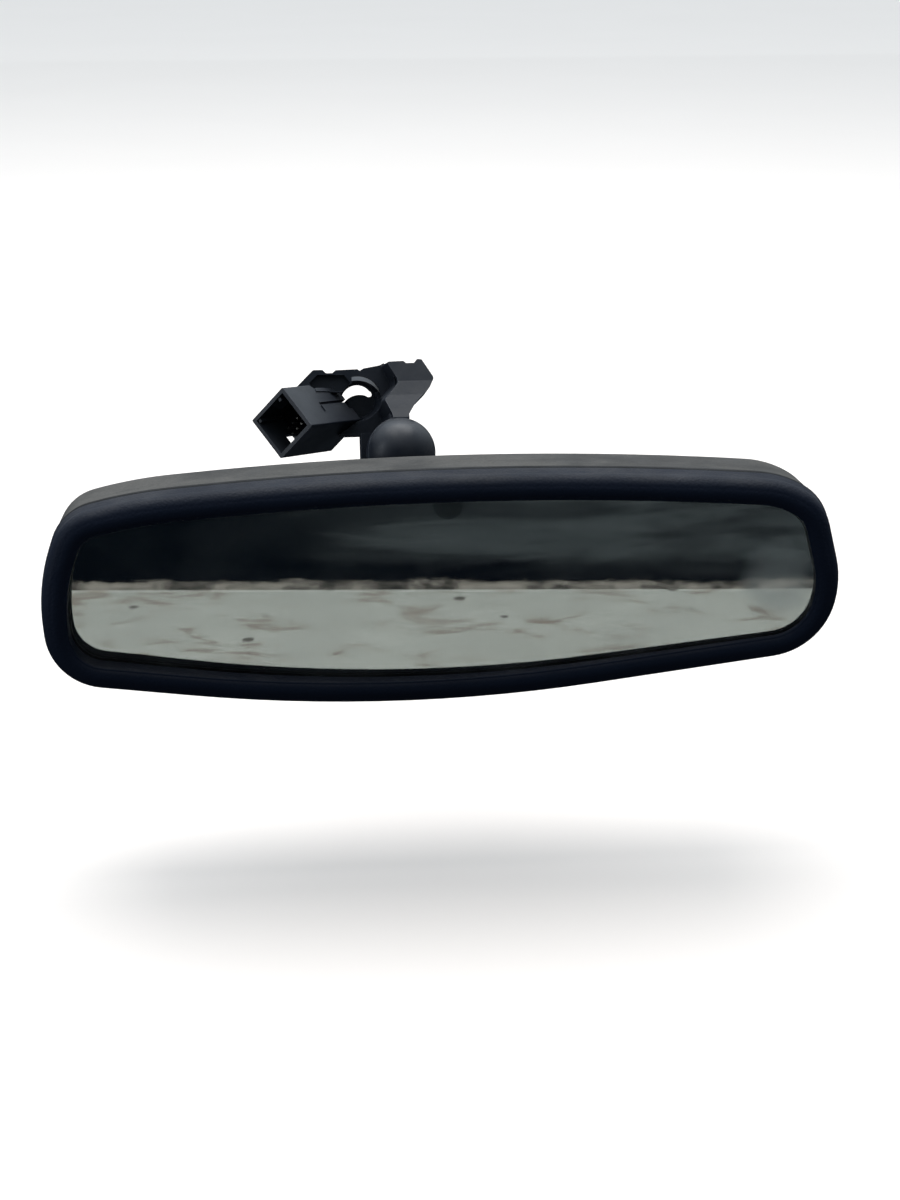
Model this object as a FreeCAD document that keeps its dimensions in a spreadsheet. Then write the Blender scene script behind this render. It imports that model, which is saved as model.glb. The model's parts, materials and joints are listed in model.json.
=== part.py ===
import FreeCAD, Part
import math
import os
import Sketcher
from FreeCAD import Placement, Rotation, Vector

# Interior rear-view mirror of a car: an auto-dimming mirror head on a ball joint, below a cast
# mount with a round windscreen foot and a plastic bracket that carries the plug socket.
#
# Millimetres.  +X runs along the head to the driver's right, +Y away from the driver towards the
# windscreen, +Z up.  The origin is the middle of the foot's front rim, which faces the windscreen.
#
# Local frames used below:
#   head frame    upright, its origin in the parting plane between bezel and rear housing
#   glass frame   the head frame turned a little about Z, its origin on the front of the glass
#   mount frame   at the ball's centre, leaning away from the driver by mount_lean
#   joint frame   at the ball's centre, +Z down the neck into the head
#   foot frame    in the seat that bears on the windscreen button, behind the rim

doc = FreeCAD.newDocument("InteriorMirror")

# ---------------------------------------------------------------- driving dimensions
SIZES = {
    # places of the local frames
    "foot_x": -24.3,
    "foot_y": 87.1,
    "foot_z": 39.0,
    "ball_x": -10.9,
    "ball_y": 45.5,
    "ball_z": 31.3,
    "mount_lean": 20.0,
    "glass_turn": 1.31,
    "glass_y": -4.95,
    # head shells
    "reveal_gap": 0.3,
    "bezel_width": 8.8,
    "bezel_skirt_inset": 2.95,
    "bezel_skirt_wall": 1.5,
    "bezel_skirt_depth": 5.0,
    "rebate_inset": 6.6,
    "housing_inset": 0.35,
    "housing_depth": 29.7,
    "housing_draft": 3.0,
    "housing_round": 12.0,
    "housing_wall": 2.2,
    "neck_hole_width": 14.0,
    "neck_hole_height": 24.0,
    "neck_collar_height": 1.4,
    # mirror cell
    "glass_inset": 7.2,
    "pane_thickness": 2.0,
    "seal_thickness": 0.25,
    "seal_width": 1.6,
    "pad_thickness": 1.2,
    "pad_inset": 10.4,
    "clip_thickness": 0.3,
    "clip_reach": 70.0,
    "carrier_thickness": 2.0,
    "window_x": 1.0,
    "window_z": 27.45,
    "window_radius": 4.65,
    # electronics
    "board_length": 96.0,
    "board_height": 36.0,
    "board_thickness": 1.6,
    "board_z": 11.5,
    "standoff_height": 3.4,
    "standoff_radius": 2.6,
    "board_screw_radius": 1.2,
    "lens_x": 26.0,
    "lens_z": 10.0,
    "lens_radius": 3.2,
    # ball joint
    "ball_radius": 7.6,
    "neck_radius": 4.2,
    "neck_root_radius": 6.6,
    "wire_bore_radius": 1.2,
    "neck_rise": 50.0,
    "inner_seat_inside": 7.68,
    "inner_seat_outside": 8.6,
    "outer_seat_inside": 8.68,
    "outer_seat_outside": 9.67,
    "cup_inside": 9.75,
    "cup_outside": 11.8,
    "cup_mouth_angle": 55.0,
    "spring_well_radius": 2.6,
    "seat_mouth_angle": 54.0,
    # stud flange
    "flange_length": 38.0,
    "flange_height": 24.0,
    "flange_thickness": 2.6,
    "flange_y": 22.4,
    "flange_z": 8.0,
    "flange_screw_radius": 1.5,
    "boss_radius": 3.2,
    "boss_height": 3.2,
    # windscreen foot
    "foot_radius": 9.5,
    "foot_thickness": 5.5,
    "foot_rim_height": 3.2,
    "foot_rim_inside": 8.0,
    "tab_inside": 6.9,
    "slot_radius": 5.7,
    "slot_end_radius": 1.25,
    "hub_radius": 7.0,
    "recess_radius": 8.1,
    "spring_thickness": 0.5,
    # bracket and plug socket
    "bracket_front": 20.5,
    "bracket_thickness": 3.5,
    "socket_side": 17.2,
    "socket_wall": 1.3,
    "socket_length": 32.0,
    "socket_turn": 34.0,
    "socket_rise": 7.0,
    "socket_roll": 52.9,
    "block_front": 17.0,
    "pin_side": 0.64,
    "pin_pitch": 2.54,
    "pin_reach": 6.0,
    "pin_tail": 2.0,
}
sheet = doc.addObject("Spreadsheet::Sheet", "Sizes")
for row, (alias, value) in enumerate(SIZES.items(), start=1):
    sheet.set(f"A{row}", alias)
    sheet.set(f"B{row}", str(value))
    sheet.setAlias(f"B{row}", alias)
doc.recompute()


def size(alias):
    return float(sheet.get(alias))


# Corners of the head's outline in the parting plane, (x, z, corner radius): a gently arched top,
# bulging ends and a lower edge that is deepest left of the middle.
HEAD_CORNERS = [
    (-131.0, 2.5, 67.0),
    (-122.0, 28.0, 17.0),
    (-100.5, 33.5, 150.0),
    (9.5, 42.5, 1128.0),
    (110.0, 34.5, 34.0),
    (124.0, 26.5, 19.0),
    (131.0, -0.5, 34.0),
    (126.0, -25.5, 24.0),
    (-17.0, -43.5, 525.0),
    (-128.5, -29.0, 20.5),
]

# ---------------------------------------------------------------- frames
ROW_SHIFT = Vector(-size("foot_x"), -size("foot_y"), -size("foot_z"))
BALL = Vector(size("ball_x"), size("ball_y"), size("ball_z"))
HEAD = Placement(ROW_SHIFT, Rotation())
GLASS = HEAD.multiply(
    Placement(
        Vector(0, size("glass_y"), 0),
        Rotation(Vector(0, 0, 1), -size("glass_turn")),
    )
)
MOUNT = Placement(ROW_SHIFT + BALL, Rotation(Vector(1, 0, 0), -size("mount_lean")))
FOOT = Placement(Vector(0, -size("foot_rim_height"), 0), Rotation())
# the ball joint's axis runs from the ball down the neck into the head
JOINT_AXIS = Vector(
    0,
    -math.cos(math.radians(size("neck_rise"))),
    -math.sin(math.radians(size("neck_rise"))),
)
JOINT = Placement(ROW_SHIFT + BALL, Rotation(Vector(0, 0, 1), JOINT_AXIS))


# ---------------------------------------------------------------- outlines
def unit(vector):
    return vector * (1.0 / vector.Length)


def inset_corners(corners, inset):
    """Corner points of a convex outline moved inwards by inset, with their smaller radii."""
    points = [Vector(x, z, 0) for x, z, radius in corners]
    count = len(points)
    area = sum(
        points[i].x * points[(i + 1) % count].y - points[(i + 1) % count].x * points[i].y
        for i in range(count)
    )
    side = 1.0 if area > 0 else -1.0
    moved = []
    for i, (x, z, radius) in enumerate(corners):
        before = unit(points[i] - points[i - 1])
        after = unit(points[(i + 1) % count] - points[i])
        normal_before = Vector(-before.y, before.x, 0) * side
        normal_after = Vector(-after.y, after.x, 0) * side
        bisector = normal_before + normal_after
        shift = bisector * (2.0 * inset / bisector.Length**2)
        moved.append((x + shift.x, z + shift.y, max(radius - inset, 0.0)))
    return moved


def rounded_edges(corners):
    """Lines and arcs of a closed outline in its own plane, as (kind, points) in drawing order."""
    points = [Vector(x, z, 0) for x, z, radius in corners]
    count = len(points)
    arcs = []
    for i, (x, z, radius) in enumerate(corners):
        to_before = unit(points[i - 1] - points[i])
        to_after = unit(points[(i + 1) % count] - points[i])
        if radius <= 0:
            arcs.append((points[i], None, points[i]))
            continue
        half_angle = to_before.getAngle(to_after) / 2.0
        reach = radius / math.tan(half_angle)
        middle = unit(to_before + to_after)
        centre = points[i] + middle * (radius / math.sin(half_angle))
        start = points[i] + to_before * reach
        end = points[i] + to_after * reach
        arcs.append((start, centre - middle * radius, end))
    edges = []
    for i, (start, middle, end) in enumerate(arcs):
        if middle is not None:
            edges.append(("arc", (start, middle, end)))
        following = arcs[(i + 1) % count][0]
        if (following - end).Length > 1e-6:
            edges.append(("line", (end, following)))
    return edges


def outline_wire(corners, depth, place=None):
    """The outline as a wire in the plane y = depth, drawn with x across and z up."""
    shapes = []
    for kind, points in rounded_edges(corners):
        placed = [Vector(p.x, depth, p.y) for p in points]
        if kind == "arc":
            shapes.append(Part.Arc(*placed).toShape())
        else:
            shapes.append(Part.LineSegment(*placed).toShape())
    wire = Part.Wire(shapes)
    if place is not None:
        wire.Placement = place
    return wire


def outline_prism(corners, front, back):
    """Solid between y = front and y = back over an outline."""
    face = Part.Face(outline_wire(corners, front))
    return face.extrude(Vector(0, back - front, 0))


def head_outline(inset):
    return inset_corners(HEAD_CORNERS, inset)


def box(low, high):
    corner = Vector(*low)
    span = Vector(*high) - corner
    return Part.makeBox(span.x, span.y, span.z, corner)


# ---------------------------------------------------------------- document helpers
SUBPARTS = []


def new_body(label, placement):
    body = doc.addObject("PartDesign::Body", label)
    body.Label = label
    body.Placement = placement
    SUBPARTS.append(body)
    return body


def keep_shape(label, shape, placement):
    """A sub-part whose form is neither a feature body nor a primitive."""
    feature = doc.addObject("Part::Feature", label)
    feature.Label = label
    feature.Shape = shape
    feature.Placement = placement
    SUBPARTS.append(feature)
    return feature


def plane_of(body, role):
    for feature in body.Origin.OriginFeatures:
        if feature.Role == role:
            return feature
    raise ValueError(role)


def front_sketch(body, name, depth="0"):
    """Sketch drawn with x across and z up, in the plane y = depth; depth is an expression."""
    sketch = body.newObject("Sketcher::SketchObject", f"{body.Label}_{name}")
    sketch.AttachmentSupport = (plane_of(body, "XZ_Plane"), "")
    sketch.MapMode = "FlatFace"
    sketch.setExpression("AttachmentOffset.Base.z", f"-({depth})")
    return sketch


def half_section(body, name):
    """Sketch of a turned part: x is the radius and y runs along the part's own Z axis."""
    sketch = body.newObject("Sketcher::SketchObject", f"{body.Label}_{name}")
    sketch.AttachmentSupport = (plane_of(body, "XZ_Plane"), "")
    sketch.MapMode = "FlatFace"
    return sketch


def draw_outline(sketch, corners):
    for kind, points in rounded_edges(corners):
        if kind == "arc":
            sketch.addGeometry(Part.Arc(*points), False)
        else:
            sketch.addGeometry(Part.LineSegment(*points), False)


def draw_circle(sketch, x, z, radius):
    """Circle whose radius follows a cell of the sheet."""
    index = sketch.addGeometry(Part.Circle(Vector(x, z, 0), Vector(0, 0, 1), size(radius)), False)
    number = sketch.addConstraint(Sketcher.Constraint("Radius", index, size(radius)))
    sketch.setExpression(f"Constraints[{number}]", f"Sizes.{radius}")


def rectangle(x, z, width, height, radius=0.0):
    half_w = width / 2.0
    half_h = height / 2.0
    return [
        (x - half_w, z - half_h, radius),
        (x - half_w, z + half_h, radius),
        (x + half_w, z + half_h, radius),
        (x + half_w, z - half_h, radius),
    ]


def pad(body, name, sketch, length, draft=None):
    """Pad away from the driver by an expression."""
    feature = body.newObject("PartDesign::Pad", f"{body.Label}_{name}")
    feature.Profile = sketch
    feature.setExpression("Length", length)
    feature.Reversed = True
    if draft is not None:
        feature.setExpression("TaperAngle", draft)
    doc.recompute()
    return feature


def pocket(body, name, sketch, length, draft=None):
    """Pocket away from the driver by an expression; fails if it removes nothing."""
    before = body.Shape.Volume
    feature = body.newObject("PartDesign::Pocket", f"{body.Label}_{name}")
    feature.Profile = sketch
    feature.setExpression("Length", length)
    if draft is not None:
        feature.setExpression("TaperAngle", draft)
    doc.recompute()
    if not body.Shape.Volume < before - 1e-6:
        raise ValueError(f"{body.Label}: {name} removes nothing")
    return feature


def turn(body, name, sketch):
    feature = body.newObject("PartDesign::Revolution", f"{body.Label}_{name}")
    feature.Profile = sketch
    feature.ReferenceAxis = (sketch, ["V_Axis"])
    feature.Angle = 360.0
    doc.recompute()
    return feature


def round_edges(body, name, base, picked, radius):
    feature = body.newObject("PartDesign::Fillet", f"{body.Label}_{name}")
    feature.Base = (base, picked)
    feature.setExpression("Radius", radius)
    doc.recompute()
    return feature


def edges_at_depth(shape, depth):
    """Names of the edges that lie wholly in the plane y = depth."""
    names = []
    for number, edge in enumerate(shape.Edges, start=1):
        bounds = edge.BoundBox
        if abs(bounds.YMin - depth) < 1e-3 and abs(bounds.YMax - depth) < 1e-3:
            names.append(f"Edge{number}")
    return names


def circle_holes(body, name, places, radius, length, depth="0"):
    """Round holes through a flat part, one sketch for all of them."""
    sketch = front_sketch(body, name, depth)
    for x, z in places:
        draw_circle(sketch, x, z, radius)
    return pocket(body, f"{name}_cut", sketch, length)


def circle_posts(body, name, places, radius, length, depth):
    sketch = front_sketch(body, name, depth)
    for x, z in places:
        draw_circle(sketch, x, z, radius)
    return pad(body, f"{name}_pad", sketch, length)


def sweep_section(section):
    """Sweep a closed section, given as (inset, depth) lines and arcs, round the head's outline."""
    spine = outline_wire(head_outline(0), 0.0)
    edge = spine.OrderedEdges[0]
    start = edge.valueAt(edge.FirstParameter)
    inward = unit(Vector(0, 1, 0).cross(edge.tangentAt(edge.FirstParameter)))
    if inward.dot(start) > 0:
        inward = inward * -1.0
    shapes = []
    for piece in section:
        points = [start + inward * inset + Vector(0, depth, 0) for inset, depth in piece]
        if len(points) == 3:
            shapes.append(Part.Arc(*points).toShape())
        else:
            shapes.append(Part.LineSegment(*points).toShape())
    return spine.makePipeShell([Part.Wire(shapes)], True, False, 0)


# Depths behind the front of the glass, in the glass frame.
PANE = size("pane_thickness")
SEAL_BACK = PANE + size("seal_thickness")
REAR_PANE_BACK = SEAL_BACK + PANE
PAD_BACK = REAR_PANE_BACK + size("pad_thickness")
CARRIER_BACK = PAD_BACK + size("carrier_thickness")
BOARD_FRONT = CARRIER_BACK + size("standoff_height")
BOARD_BACK = BOARD_FRONT + size("board_thickness")
WINDOW = (size("window_x"), size("window_z"))
BOARD_SCREWS = [(x, size("board_z") + z) for x in (-43.5, 43.5) for z in (-13.5, 13.5)]
# height at which the middle of the neck passes through the back wall of the housing
NECK_HOLE_Y = size("housing_depth")
NECK_HOLE_Z = BALL.z - (BALL.y - NECK_HOLE_Y) * math.tan(math.radians(size("neck_rise")))
FLANGE_SCREWS = [
    (size("ball_x") + x, size("flange_z") + z) for x in (-15.0, 15.0) for z in (-8.0, 8.0)
]


# ---------------------------------------------------------------- head shells
def make_front_bezel():
    """Rounded bead round the glass, with a rebate for the mirror cell and a skirt behind."""
    back = -size("reveal_gap")
    lip = size("bezel_width")
    section = [
        ((0.0, back), (0.7, -4.6)),
        ((0.7, -4.6), (1.5, -7.6), (3.8, -9.3)),
        ((3.8, -9.3), (6.0, -9.8), (8.0, -8.9)),
        ((8.0, -8.9), (8.6, -8.6), (lip, -8.0)),
        ((lip, -8.0), (lip, back)),
        ((lip, back), (0.0, back)),
    ]
    bead = sweep_section(section)
    skirt_outside = size("bezel_skirt_inset")
    skirt_inside = skirt_outside + size("bezel_skirt_wall")
    skirt_front = -2.0
    skirt_back = skirt_front + size("bezel_skirt_depth")
    outside = outline_prism(head_outline(skirt_outside), skirt_front, skirt_back)
    inside = outline_prism(head_outline(skirt_inside), skirt_front - 1.0, skirt_back + 1.0)
    bezel = bead.fuse(outside.cut(inside))
    rebate = outline_prism(head_outline(size("rebate_inset")), -0.05, 20.0)
    rebate.Placement = HEAD.inverse().multiply(GLASS)
    return bezel.cut(rebate)


def make_rear_housing():
    """Drafted shell with a rounded back, stepped inside, with bosses for the ball stud's flange."""
    body = new_body("rear_housing", HEAD)
    inset = size("housing_inset")
    wall = size("housing_wall")
    outer = front_sketch(body, "outline", "Sizes.reveal_gap")
    draw_outline(outer, head_outline(inset))
    shell = pad(body, "shell", outer, "Sizes.housing_depth", "-Sizes.housing_draft")
    back = size("reveal_gap") + size("housing_depth")
    picked = edges_at_depth(shell.Shape, back)
    round_edges(body, "back_round", shell, picked, "Sizes.housing_round")
    steps = [
        (inset + wall, "Sizes.housing_depth - 9.7", "-Sizes.housing_draft"),
        (inset + wall + 3.4, "Sizes.housing_depth - 4.7", None),
        (inset + wall + 6.4, "Sizes.housing_depth - Sizes.housing_wall", None),
    ]
    for number, (step_inset, length, draft) in enumerate(steps, start=1):
        cavity = front_sketch(body, f"cavity_outline_{number}", "Sizes.reveal_gap")
        draw_outline(cavity, head_outline(step_inset))
        pocket(body, f"cavity_{number}", cavity, length, draft)
    flange_back = "Sizes.flange_y + Sizes.flange_thickness"
    bosses = front_sketch(body, "bosses", flange_back)
    for x, z in FLANGE_SCREWS:
        draw_circle(bosses, x, z, "boss_radius")
    pad(body, "boss_posts", bosses, "Sizes.boss_height")
    ribs = front_sketch(body, "ribs", flange_back)
    for x in (-90.0, -60.0, 50.0, 90.0):
        draw_outline(ribs, rectangle(x, 0.0, 1.6, 34.0))
    pad(body, "rib_walls", ribs, "Sizes.boss_height")
    circle_holes(body, "boss_holes", FLANGE_SCREWS, "flange_screw_radius", "Sizes.boss_height", flange_back)
    width = size("neck_hole_width")
    height = size("neck_hole_height")
    opening = rectangle(BALL.x, NECK_HOLE_Z, width, height, 6.0)
    neck_hole = front_sketch(body, "neck_hole", flange_back)
    draw_outline(neck_hole, opening)
    pocket(body, "neck_opening", neck_hole, "12")
    lens = [(size("lens_x"), size("lens_z"))]
    circle_holes(body, "lens_hole", lens, "lens_radius", "12", flange_back)
    vents = front_sketch(body, "vents", flange_back)
    for x in range(-3, 4):
        draw_outline(vents, rectangle(60.0 + 5.0 * x, -14.0, 2.2, 12.0, 1.1))
    pocket(body, "vent_slots", vents, "12")
    collar = front_sketch(body, "collar", "Sizes.reveal_gap + Sizes.housing_depth")
    draw_outline(collar, rectangle(BALL.x, NECK_HOLE_Z, width + 6.0, height + 6.0, 9.0))
    draw_outline(collar, opening)
    pad(body, "neck_collar", collar, "Sizes.neck_collar_height")
    return body


# ---------------------------------------------------------------- mirror cell
def window_corners(grow=0.0):
    """Aperture for the glare sensor: straight sides, a round lower end, its top under the bezel."""
    radius = size("window_radius") + grow
    top = 6.0 + grow
    x, z = WINDOW
    return [
        (x - radius, z - radius, radius - 0.01),
        (x - radius, z + top, 0.5),
        (x + radius, z + top, 0.5),
        (x + radius, z - radius, radius - 0.01),
    ]


def make_front_glass():
    body = new_body("front_glass", GLASS)
    sketch = front_sketch(body, "outline")
    draw_outline(sketch, head_outline(size("glass_inset")))
    pane = pad(body, "pane", sketch, "Sizes.pane_thickness")
    front_edge = edges_at_depth(pane.Shape, 0.0)
    chamfer = body.newObject("PartDesign::Chamfer", "front_glass_edge")
    chamfer.Base = (pane, front_edge)
    chamfer.Size = 0.3
    doc.recompute()
    return body


def make_cell_seal():
    body = new_body("cell_seal", GLASS)
    sketch = front_sketch(body, "outline", "Sizes.pane_thickness")
    outside = size("glass_inset") + 0.4
    draw_outline(sketch, head_outline(outside))
    draw_outline(sketch, head_outline(outside + size("seal_width")))
    pad(body, "bead", sketch, "Sizes.seal_thickness")
    return body


def make_rear_glass():
    body = new_body("rear_glass", GLASS)
    front = "Sizes.pane_thickness + Sizes.seal_thickness"
    sketch = front_sketch(body, "outline", front)
    draw_outline(sketch, head_outline(size("glass_inset")))
    pad(body, "pane", sketch, "Sizes.pane_thickness")
    aperture = front_sketch(body, "aperture", front)
    draw_outline(aperture, window_corners())
    pocket(body, "sensor_aperture", aperture, "Sizes.pane_thickness + 1")
    return body


def make_sensor_window():
    """Smoked filter that fills the aperture in the reflecting pane."""
    filter_shape = outline_prism(window_corners(-0.05), SEAL_BACK, REAR_PANE_BACK)
    pane = outline_prism(head_outline(size("glass_inset")), SEAL_BACK, REAR_PANE_BACK)
    return filter_shape.common(pane)


def make_bus_clip(upper):
    """Strip of spring metal folded over the cell's edge and along its back."""
    thin = size("clip_thickness")
    outer = size("glass_inset") - 0.05 - thin
    inner = outer + thin
    reach = size("clip_reach")
    flange_inset = inner + 2.6
    edge = outline_prism(head_outline(outer), 1.2, REAR_PANE_BACK + thin)
    edge = edge.cut(outline_prism(head_outline(inner), 0.0, REAR_PANE_BACK + 1.0))
    flange = outline_prism(head_outline(outer), REAR_PANE_BACK, REAR_PANE_BACK + thin)
    flange = flange.cut(outline_prism(head_outline(flange_inset), 0.0, REAR_PANE_BACK + 1.0))
    low, high = (15.0, 45.0) if upper else (-45.0, -15.0)
    window = box((-reach, 0.0, low), (reach, 10.0, high))
    return edge.fuse(flange).common(window).removeSplitter()


def make_adhesive_pad():
    body = new_body("adhesive_pad", GLASS)
    front = "2 * Sizes.pane_thickness + Sizes.seal_thickness"
    sketch = front_sketch(body, "outline", front)
    draw_outline(sketch, head_outline(size("pad_inset")))
    pad(body, "foam", sketch, "Sizes.pad_thickness")
    aperture = front_sketch(body, "aperture", front)
    draw_outline(aperture, window_corners(0.4))
    pocket(body, "sensor_aperture", aperture, "Sizes.pad_thickness + 1")
    return body


def make_glass_carrier():
    """Back plate of the cell: windows to save weight, standoffs for the circuit board."""
    body = new_body("glass_carrier", GLASS)
    front = "2 * Sizes.pane_thickness + Sizes.seal_thickness + Sizes.pad_thickness"
    back = f"{front} + Sizes.carrier_thickness"
    sketch = front_sketch(body, "outline", front)
    draw_outline(sketch, head_outline(size("glass_inset") + 0.2))
    pad(body, "plate", sketch, "Sizes.carrier_thickness")
    stiffener = front_sketch(body, "stiffener", back)
    draw_outline(stiffener, head_outline(size("glass_inset") + 1.2))
    draw_outline(stiffener, head_outline(size("glass_inset") + 2.8))
    pad(body, "rim", stiffener, "2.4")
    windows = front_sketch(body, "windows", front)
    for x in (-92.0, -68.0, 68.0, 92.0):
        draw_outline(windows, rectangle(x, 0.0, 18.0, 26.0, 4.0))
    pocket(body, "light_windows", windows, "Sizes.carrier_thickness + 1")
    circle_posts(body, "standoffs", BOARD_SCREWS, "standoff_radius", "Sizes.standoff_height", back)
    thread = "Sizes.standoff_height + 0.6"
    circle_holes(body, "threads", BOARD_SCREWS, "board_screw_radius", thread, f"{back} - 0.6")
    aperture = front_sketch(body, "aperture", front)
    draw_outline(aperture, window_corners(0.4))
    pocket(body, "sensor_aperture", aperture, "Sizes.carrier_thickness + 5")
    return body


# ---------------------------------------------------------------- electronics
def make_circuit_board():
    body = new_body("circuit_board", GLASS)
    front = f"{BOARD_FRONT}"
    sketch = front_sketch(body, "outline", front)
    corners = rectangle(0.0, size("board_z"), size("board_length"), size("board_height"), 2.0)
    draw_outline(sketch, corners)
    pad(body, "laminate", sketch, "Sizes.board_thickness")
    through = "Sizes.board_thickness + 1"
    circle_holes(body, "screw_holes", BOARD_SCREWS, "board_screw_radius", through, front)
    return body


def board_component(label, places, width, height, rise, rounding=0.0):
    """Rectangular packages soldered on the back of the board, one solid each."""
    solids = []
    for x, z in places:
        corners = rectangle(x, z, width, height, rounding)
        solids.append(outline_prism(corners, BOARD_BACK, BOARD_BACK + rise))
    shape = solids[0] if len(solids) == 1 else Part.makeCompound(solids)
    return keep_shape(label, shape, GLASS)


def make_control_chip():
    """Flat package with a row of gull-wing leads on two sides."""
    x, z = -26.0, 14.0
    body_low = BOARD_BACK + 0.15
    package = outline_prism(rectangle(x, z, 7.5, 10.0, 0.3), body_low, body_low + 1.9)
    shape = package
    for side in (-1.0, 1.0):
        for step in range(7):
            lead_z = z + (step - 3) * 1.27
            lead = outline_prism(
                rectangle(x + side * 4.3, lead_z, 1.8, 0.45), BOARD_BACK, body_low + 0.6
            )
            shape = shape.fuse(lead)
    return keep_shape("control_chip", shape.removeSplitter(), GLASS)


def make_capacitors():
    """Three can capacitors standing on the board, each with a crimped neck."""
    cans = []
    for x, z in ((4.0, 4.0), (12.5, 4.0), (-8.0, 23.5)):
        base = Vector(x, BOARD_BACK, z)
        can = Part.makeCylinder(3.15, 5.4, base, Vector(0, 1, 0))
        can = can.fuse(outline_prism(rectangle(x, z, 6.6, 6.6, 0.8), BOARD_BACK, BOARD_BACK + 0.6))
        crimp = Part.makeTorus(3.45, 0.5, base + Vector(0, 1.4, 0), Vector(0, 1, 0))
        cans.append(can.cut(crimp))
    return keep_shape("capacitors", Part.makeCompound(cans), GLASS)


def make_board_header():
    """Low wire-to-board header, open to the back, for the leads that run up the hollow stud."""
    x, z = 33.0, 22.0
    shell = outline_prism(rectangle(x, z, 12.0, 6.0, 0.4), BOARD_BACK, BOARD_BACK + 6.0)
    well = outline_prism(rectangle(x, z, 10.4, 4.4), BOARD_BACK + 1.0, BOARD_BACK + 7.0)
    shape = shell.cut(well)
    for step in range(5):
        foot_print = rectangle(x + (step - 2) * 1.8, z, 0.5, 0.5)
        shape = shape.fuse(outline_prism(foot_print, BOARD_BACK + 0.5, BOARD_BACK + 4.6))
    return keep_shape("board_header", shape, GLASS)


def make_glare_sensor():
    """Light sensor on the front of the board, looking through the smoked window."""
    x, z = WINDOW
    low = CARRIER_BACK - 0.6
    stem = outline_prism(rectangle(x, z, 5.0, 5.0, 0.5), low + 1.2, BOARD_FRONT)
    dome = Part.makeSphere(1.9, Vector(x, low + 1.4, z))
    return keep_shape("glare_sensor", stem.fuse(dome), GLASS)


def make_ambient_sensor():
    """Light sensor on the back of the board, looking through the lens in the rear housing."""
    x, z = size("lens_x"), size("lens_z")
    stem = outline_prism(rectangle(x, z, 5.0, 5.0, 0.5), BOARD_BACK, BOARD_BACK + 3.0)
    dome = Part.makeSphere(1.9, Vector(x, BOARD_BACK + 3.0, z))
    return keep_shape("ambient_sensor", stem.fuse(dome), GLASS)


def make_ambient_lens():
    """Turned light guide that plugs the hole in the back of the housing."""
    outside = Vector(size("lens_x"), size("reveal_gap") + size("housing_depth"), size("lens_z"))
    facing = Rotation(Vector(0, 0, 1), Vector(0, -1, 0))
    body = new_body("ambient_lens", HEAD.multiply(Placement(outside, facing)))
    sketch = half_section(body, "profile")
    rim = size("lens_radius") + 1.0
    stem = size("lens_radius") - 0.05
    outline = [
        (0.0, -0.9),
        (stem - 0.6, -0.5),
        (stem, 0.0),
        (stem, 2.2),
        (rim, 2.2),
        (rim, 3.0),
        (stem - 0.8, 3.0),
        (stem - 0.8, 8.0),
        (0.0, 8.0),
    ]
    for start, end in zip(outline, outline[1:] + outline[:1]):
        sketch.addGeometry(Part.LineSegment(Vector(*start, 0), Vector(*end, 0)), False)
    turn(body, "turned", sketch)
    return body


def screw_solid(radius, length, head_radius, head_height):
    """Pan-head screw along +Z: the head's underside in z = 0, the shank below, a cross recess."""
    shank = Part.makeCylinder(radius, length, Vector(0, 0, -length))
    head = Part.makeCylinder(head_radius, head_height)
    rim = [edge for edge in head.Edges if edge.BoundBox.ZMin > head_height - 1e-3]
    head = head.makeFillet(head_height * 0.45, rim[:1])
    cross = None
    for turn_angle in (0, 90):
        arm = Part.makeBox(head_radius * 1.1, head_radius * 0.28, head_height)
        arm.translate(Vector(-head_radius * 0.55, -head_radius * 0.14, head_height * 0.4))
        arm.rotate(Vector(), Vector(0, 0, 1), turn_angle)
        cross = arm if cross is None else cross.fuse(arm)
    return shank.fuse(head).cut(cross)


def screw_group(label, places, facing, radius, length, head_radius, head_height, frame):
    """Identical screws, one solid each; places are the points under the heads."""
    solids = []
    for place in places:
        screw = screw_solid(radius, length, head_radius, head_height)
        screw.Placement = Placement(Vector(*place), Rotation(Vector(0, 0, 1), facing))
        solids.append(screw)
    return keep_shape(label, Part.makeCompound(solids), frame)


# ---------------------------------------------------------------- ball joint
def make_ball_stud():
    """Ball, hollow neck and flange cast in one; the flange screws down inside the rear housing."""
    x = size("ball_x")
    flange_front = size("flange_y")
    flange_back = flange_front + size("flange_thickness")
    length = size("flange_length")
    height = size("flange_height")
    corners = rectangle(x, size("flange_z"), length, height, 4.0)
    flange = outline_prism(corners, flange_front, flange_back)
    for hole_x, hole_z in FLANGE_SCREWS:
        start = Vector(hole_x, flange_front - 2.0, hole_z)
        hole = Part.makeCylinder(size("flange_screw_radius"), 10.0, start, Vector(0, 1, 0))
        flange = flange.cut(hole)
    reach = (BALL.y - flange_front - 1.0) / -JOINT_AXIS.y
    root = BALL + JOINT_AXIS * reach
    neck = Part.makeCylinder(size("neck_radius"), reach, root, JOINT_AXIS * -1.0)
    root_radius = size("neck_root_radius")
    collar = Part.makeCone(root_radius, size("neck_radius"), 26.0, root, JOINT_AXIS * -1.0)
    ball = Part.makeSphere(size("ball_radius"), BALL)
    keep = box((x - 20.0, flange_front, -20.0), (x + 20.0, BALL.y + 20.0, 60.0))
    solid = flange.fuse(neck).fuse(collar).fuse(ball).common(keep)
    bore_start = root + JOINT_AXIS * 6.0
    bore = Part.makeCylinder(
        size("wire_bore_radius"), reach + size("ball_radius") + 12.0, bore_start, JOINT_AXIS * -1.0
    )
    return keep_shape("ball_stud", solid.cut(bore).removeSplitter(), HEAD)


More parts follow.
